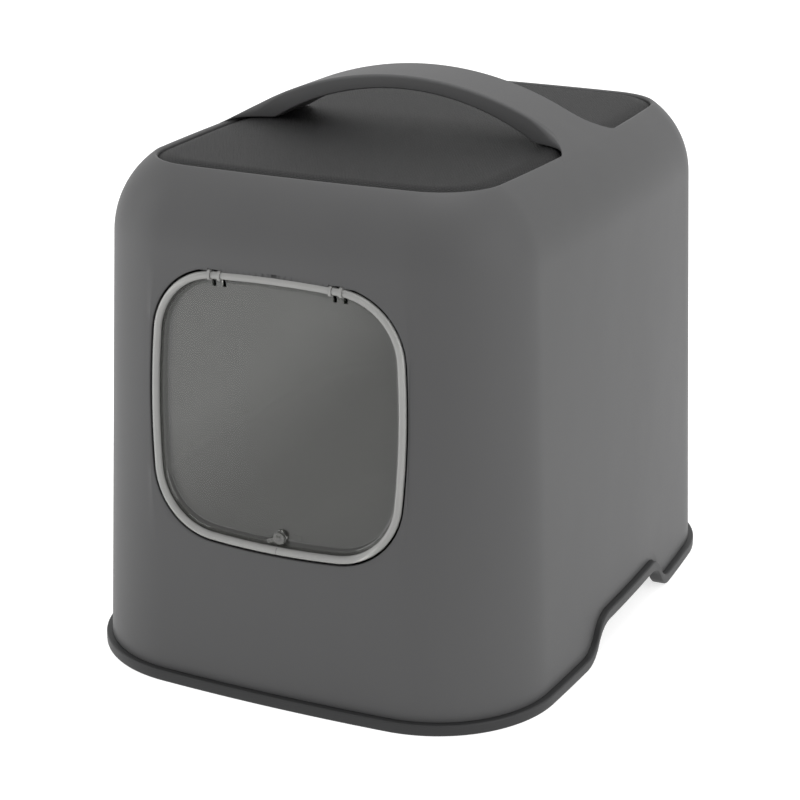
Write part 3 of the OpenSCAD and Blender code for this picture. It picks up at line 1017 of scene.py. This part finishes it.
    def add_handle(self, bm: Mesh) -> None:
        """Adds the handle, a rounded strap whose feet flare and run out into the shoulders."""
        s = self.shell
        self.shoulder_x = s.plan.width / 2 - s.shoulder_in
        drop = s.shoulder_z - s.total_h
        rest = s.shoulder_r**2 - drop**2 - self.shoulder_x**2
        self.crown_r = rest / (2 * (drop + s.shoulder_r))
        self.meet_x = self.crown_r * self.shoulder_x / (self.crown_r - s.shoulder_r)
        under_h = s.total_h - self.strap_t - s.panel_top
        under_r = ((self.finger_span / 2) ** 2 + under_h**2) / (2 * under_h)
        under_c = s.panel_top + under_h - under_r
        steps = 48
        reach = [self.meet_x * math.sin(math.pi / 2 * k / steps) for k in range(steps + 1)]
        reach += [self.meet_x + self.overlap * k / 20 for k in range(1, 21)]
        reach += [self.meet_x + self.overlap + k for k in (0.7, 2)]
        rings = []
        for x in [-x for x in reversed(reach[1:])] + reach:
            arch = under_c + math.sqrt(max(0.0, under_r**2 - x * x))
            rings.append(self.strap_ring(x, max(s.panel_top + 0.6, arch)))
        loft(bm, rings, capped=True)


@dataclass
class TopPanel:
    """The dimpled cap that closes the top opening under the handle."""

    shell: Shell
    gap: float = 0.25
    thick: float = 3
    border_w: float = 15
    border_drop: float = 4
    foot: float = 5
    finish: DimpledPlastic = DimpledPlastic("panel_dark_dimpled", (0.006, 0.00605, 0.0063))

    def build(self) -> None:
        """Builds the panel."""
        s = self.shell
        outer_in = s.lip_in + s.lip_step + self.gap
        flat_in = outer_in + self.border_w
        section = [(flat_in, s.panel_top - self.thick), (outer_in + self.foot, s.seat_z),
                   (outer_in, s.seat_z)]
        tilt = 2 * math.atan(self.border_drop / self.border_w)
        bend_r = self.border_w / math.sin(tilt)
        bend_c = (flat_in, s.panel_top - bend_r)
        section += arc_points(bend_c, bend_r, 90 + math.degrees(tilt), 90, 14)
        bm = bmesh.new()
        loft(bm, [s.ring(*p) for p in section], capped=True)
        finish_piece(bm, "dimpled_top_panel", Body.HOOD, [self.finish],
                     ["top_panel"])


@dataclass
class SwingFlap:
    """The clear door: a round bead and a recessed pane, which follow the hood's face."""

    shell: Shell
    door: DoorOpening
    hinge: Hinge
    latch: LatchPlace
    pane_depth: float = 7.5
    pane_t: float = 2
    pane_in: float = 11
    seam_w: float = 0.3
    seam_depth: float = 0.35
    pane_finish: ClearPlastic = ClearPlastic("flap_smoked_clear", (0.36, 0.365, 0.34), 0.06, 0.94)
    # The bead is the pane's own clear plastic made less clear, a painted sheen for the light that
    # the round bead catches; the journals take it too.
    bead_painted_sheen_finish: ClearPlastic = ClearPlastic("flap_bead_painted_sheen", (0.35, 0.35, 0.34), 0.12, 0.4)

    def ring(self, step: float, depth: float, share: float = 1) -> Ring:
        """Returns a ring of the flap's outline.

        Args:
            step: Inward step from the flap's edge.
            depth: Depth behind the hood's face.
            share: Share of its size that the ring is drawn in to.

        Returns:
            The ring's points.
        """
        ring = []
        for station in self.stations:
            p = station.at(step) * share
            z = p.y + self.door.mid_z
            ring.append(Vector((p.x, self.shell.face_y(p.x, z) + depth, z)))
        return ring

    def build(self) -> None:
        """Builds the flap."""
        self.stations = self.door.outline.stations(4.0, 2.4)
        h, t = self.hinge, self.latch
        back = self.pane_depth + self.pane_t
        section = [(self.pane_in, back), (9, back), (7.6, back - 0.1), (6.5, back - 0.3),
                   (5.4, back - 0.9), (4.6, back - 1.8), (4, 6.6)]
        shares = [0.02, 0.2, 0.4, 0.6, 0.8, 0.92]
        first_bead = len(shares) + len(section)
        section += arc_points((h.bead_r, h.bead_depth), h.bead_r, 110, 375, 22)
        last_bead = len(shares) + len(section)
        section += [(6.3, 3.4), (6.6, 4.4), (7.0, 5.3), (7.6, 6.1), (8.3, 6.8), (9.1, 7.25),
                    (10, 7.45), (self.pane_in, self.pane_depth)]
        rings = [self.ring(self.pane_in, back, k) for k in shares]
        rings += [self.ring(*p) for p in section]
        rings += [self.ring(self.pane_in, self.pane_depth, k) for k in reversed(shares)]
        bm = bmesh.new()
        loops = loft(bm, rings, capped=True)
        # The bead's faces take the second finish, the painted sheen.
        for first, second in zip(loops[first_bead:last_bead - 1], loops[first_bead + 1:]):
            for vert in first:
                for face in vert.link_faces:
                    if any(v in second for v in face.verts):
                        face.material_index = 1
        bm = self.cut_hinge(bm)
        bm = combine(bm, Join.ADD, t.bar(t.hub_r + 0.75, t.land_back, t.land_front, 0.3))
        low_z = self.door.low_z
        seam = block((t.x - self.seam_w / 2, t.face - 3, low_z - 1),
                     (t.x + self.seam_w / 2, t.face + self.seam_depth, low_z + 7))
        bm = combine(bm, Join.CUT, t.bar(t.shaft_r + 0.05, t.land_back + 1, t.land_front - 1), seam)
        finish_piece(bm, "smoked_flap", Body.FLAP,
                     [self.pane_finish, self.bead_painted_sheen_finish], ["flap"])

    def cut_hinge(self, bm: Mesh) -> Mesh:
        """Cuts the slots for the hooks through the bead and bridges them with the journals."""
        h = self.hinge
        width = h.hook_w + 0.6
        for side, offset in h.hooks():
            bore = h.bar(side, offset, h.hook_out + 1.2, width)
            slit = block(h.place(side, offset - width / 2, -h.bead_r, -10),
                         h.place(side, offset + width / 2, 16, 0))
            bm = combine(bm, Join.CUT, bore, slit)
        for side, offset in h.hooks():
            journal = h.bar(side, offset, h.journal_r, width + 2.4)
            # The journals take the bead's painted sheen finish.
            for face in journal.faces:
                face.material_index = 1
            bm = combine(bm, Join.ADD, journal)
        return bm


@dataclass
class HingeClip:
    """A clip with two hooks that hold the flap's journals, and a plate pegged to the hood's pad."""

    hinge: Hinge
    side: int
    finish: ClearPlastic = ClearPlastic("clip_pale_clear", (0.33, 0.33, 0.32), 0.2, 0.4)

    def hook(self, offset: float) -> Mesh:
        """Returns one hook, a part ring spun round the hinge line with an arm up to the plate."""
        h = self.hinge
        bm = bmesh.new()
        mid = h.place(self.side, offset, 0, 0)
        start = math.radians(20)
        half = h.hook_w / 2
        corners = [(-half, h.hook_in), (half, h.hook_in), (half, h.hook_out), (-half, h.hook_out)]
        places = [Vector((x, r * math.cos(start), r * math.sin(start))) for x, r in corners]
        face = bm.faces.new([bm.verts.new(mid + p) for p in places])
        bmesh.ops.spin(bm, geom=[face, *face.edges, *face.verts], cent=mid, axis=Vector((1, 0, 0)),
                       steps=40, angle=math.radians(270), use_duplicate=False)
        back, top = h.pad_back, h.pad_low + 1
        arm_in = back - 1.3
        arm = [(arm_in, 1.8), (arm_in + 1.6, 1.8), (back + h.plate_t, h.pad_low),
               (back + h.plate_t, top), (back, top), (back, h.pad_low - 0.2),
               (arm_in, h.pad_low - 2)]
        outline = [h.place(self.side, offset - half, y, z) for y, z in arm]
        return combine(bm, Join.ADD, slab(outline, Vector((h.hook_w, 0, 0)), 0.2))

    def build(self) -> None:
        """Builds the clip."""
        h = self.hinge
        half, step = h.pad_w / 2, 0.5
        high = h.place(self.side, half - step, h.pad_back + h.plate_t, h.pad_low + h.pad_h - step)
        plate = block(h.place(self.side, step - half, h.pad_back, h.pad_low + step), high, 0.5)
        hooks = [self.hook(k * h.hook_pitch / 2) for k in SIDES]
        bm = combine(plate, Join.ADD, h.peg(self.side, edge=0.3), *hooks)
        word = "left" if self.side < 0 else "right"
        finish_piece(bm, f"clip_{word}", Body.HOOD, [self.finish],
                     [f"hinge_clip_{word}"])


@dataclass
class TurnLatch:
    """The latch's two halves: hub, lever and shaft in front, and the tongue behind the pane."""

    latch: LatchPlace
    lever_l: float = 10.5
    lever_w: float = 3.4
    lever_a: float = 200
    tongue_l: float = 15.8
    tongue_w: float = 4
    cam_t: float = 2.2
    square_w: float = 3
    front: float = 2.8
    rib_w: float = 1.2
    rib_places: Pair = (1.6, 4.4)
    nick_angles: Pair = (60, 120)
    finish: ClearPlastic = ClearPlastic("latch_pale_clear", (0.3, 0.3, 0.285), 0.2, 0.75)

    def turned(self, low: Triple, high: Triple, angle: float = 0, edge: float = 0) -> Mesh:
        """Returns a box given along the lever, across it and by depth, turned with the lever."""
        t = self.latch
        bm = block((low[0], low[2], low[1]), (high[0], high[2], high[1]), edge)
        turn = Matrix.Rotation(math.radians(-angle), 4, "Y")
        bmesh.ops.transform(bm, matrix=Matrix.Translation(t.place(0, 0, 0)) @ turn, verts=bm.verts)
        return bm

    def build(self) -> None:
        """Builds both halves."""
        t, front = self.latch, self.front
        back = t.land_front - t.play
        half = self.lever_w / 2
        lever = self.turned((0, -half, front + 0.2), (self.lever_l, half, back - 1.2),
                            self.lever_a, 0.5)
        ribs = [self.turned((self.lever_l - r, -half, front - 0.5),
                            (self.lever_l - r + self.rib_w, half, back - 1.4), self.lever_a, 0.3)
                for r in self.rib_places]
        nicks = [self.turned((1.4, -0.5, front - 1), (3.4, 0.5, front + 1.2), a)
                 for a in self.nick_angles]
        bm = combine(t.bar(t.hub_r, back, front, 0.5), Join.ADD, lever, *ribs)
        bm = combine(bm, Join.CUT, *nicks)
        cam_front = t.land_back + t.play
        cam_back = cam_front + self.cam_t
        w = self.square_w / 2
        square = self.turned((-w, -w, cam_front - 1), (w, w, cam_back + t.play))
        tip = drum(t.shaft_r + 0.2, t.place(0, cam_back + t.play, 0), Vector((0, 1.2, 0)), 0, 48, w)
        bm = combine(bm, Join.ADD, t.bar(t.shaft_r, cam_front, back - 1), square, tip)
        finish_piece(bm, "latch_lever_and_shaft", Body.LATCH, [self.finish],
                     ["latch_lever"])
        half = self.tongue_w / 2
        tongue = self.turned((0, -half, cam_front), (self.tongue_l, half, cam_back), 0, 0.4)
        w += 0.05
        hole = self.turned((-w, -w, cam_front - 1), (w, w, cam_back + 1))
        cam = combine(t.bar(t.hub_r, cam_back, cam_front, 0.3), Join.ADD, tongue)
        cam = combine(cam, Join.CUT, hole)
        finish_piece(cam, "latch_tongue", Body.LATCH, [self.finish], ["latch_cam"])


@dataclass(frozen=True)
class SoftBox:
    """A soft light that faces a point over the middle of the floor, in metres and watts."""

    name: str
    place: Triple
    aim_z: float
    size: Pair
    power: float

    def build(self) -> None:
        """Adds the light."""
        data = bpy.data.lights.new(self.name, "AREA")
        data.shape = "RECTANGLE"
        data.size, data.size_y = self.size
        data.energy = self.power
        lamp = add_object(self.name, data)
        lamp.location = self.place
        aim = Vector((0, 0, self.aim_z)) - Vector(self.place)
        lamp.rotation_euler = aim.to_track_quat("-Z", "Y").to_euler()


@dataclass
class Studio:
    """The pale floor, the soft lights and the camera at the photograph's viewing angle."""

    eye: Triple = (0.72978, -1.55692, 0.76041)
    yaw: float = 25.566
    tilt: float = 19.029
    roll: float = 0.155
    lens: float = 97.07
    sky_glow: float = 0.95
    floor_glow: float = 1.7
    floor_dark: float = 0.43
    lights: tuple[SoftBox, ...] = (
        SoftBox("right_box", (2.4, -0.3, 1.1), 0.25, (2.4, 2.2), 24),
        SoftBox("left_box", (-2.2, -0.9, 1.0), 0.25, (0.9, 1.8), 10),
        SoftBox("top_box", (0, 0.2, 2.6), 0.3, (1.6, 1.6), 27),
    )

    def camera(self) -> None:
        """Adds the camera."""
        data = bpy.data.cameras.new("view")
        data.lens = self.lens
        data.sensor_width = 36
        camera = add_object("view", data)
        turn = Matrix.Rotation(math.radians(self.yaw), 4, "Z")
        tilt = Matrix.Rotation(math.radians(90 - self.tilt), 4, "X")
        roll = Matrix.Rotation(math.radians(self.roll), 4, "Z")
        camera.matrix_world = Matrix.Translation(self.eye) @ turn @ tilt @ roll
        bpy.context.scene.camera = camera

    def floor(self) -> None:
        """Adds the floor, which glows brightest on the left in front of the box."""
        bm = bmesh.new()
        bmesh.ops.create_grid(bm, x_segments=2, y_segments=2, size=15)
        floor = mesh_object("floor", bm)
        shader = Shader("floor_white")
        x, y = shader.axes()
        # Painted pool of light: the floor glows fully only to the front left and at floor_dark
        # elsewhere, so the flap's pane reflects a lighter and a darker part of it.
        aside = ((-0.3 - x) * 4).clamp()
        ahead = ((-0.2 - y) * 3).clamp()
        shade = shader.blend(aside * ahead, (self.floor_dark,) * 3, (1, 1, 1))
        grain = shader.blend(shader.noise(0.8), (0.5, 0.5, 0.5), (0.52, 0.52, 0.52))
        shader.set(Base_Color=grain, Roughness=0.9, Emission_Color=shade,
                   Emission_Strength=self.floor_glow)
        floor.data.materials.append(shader.material)

    def build(self) -> None:
        """Builds the studio."""
        self.camera()
        self.floor()
        world = bpy.data.worlds.new("studio")
        world.use_nodes = True
        sky = world.node_tree.nodes["Background"]
        sky.inputs["Color"].default_value = (1, 1, 1, 1)
        sky.inputs["Strength"].default_value = self.sky_glow
        bpy.context.scene.world = world
        for light in self.lights:
            light.build()
        bpy.context.scene.view_settings.view_transform = "Standard"


def main() -> None:
    """Builds the box and its studio."""
    logging.basicConfig(level=logging.INFO, format="%(name)s: %(message)s")
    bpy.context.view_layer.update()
    shell = Shell()
    door = DoorOpening()
    hinge = Hinge(shell, door)
    latch = LatchPlace(shell, door)
    Studio().build()
    Pan(shell).build()
    Hood(shell, door, hinge, latch).build()
    TopPanel(shell).build()
    SwingFlap(shell, door, hinge, latch).build()
    for side in SIDES:
        HingeClip(hinge, side).build()
    TurnLatch(latch).build()


if __name__ == "__main__":
    main()
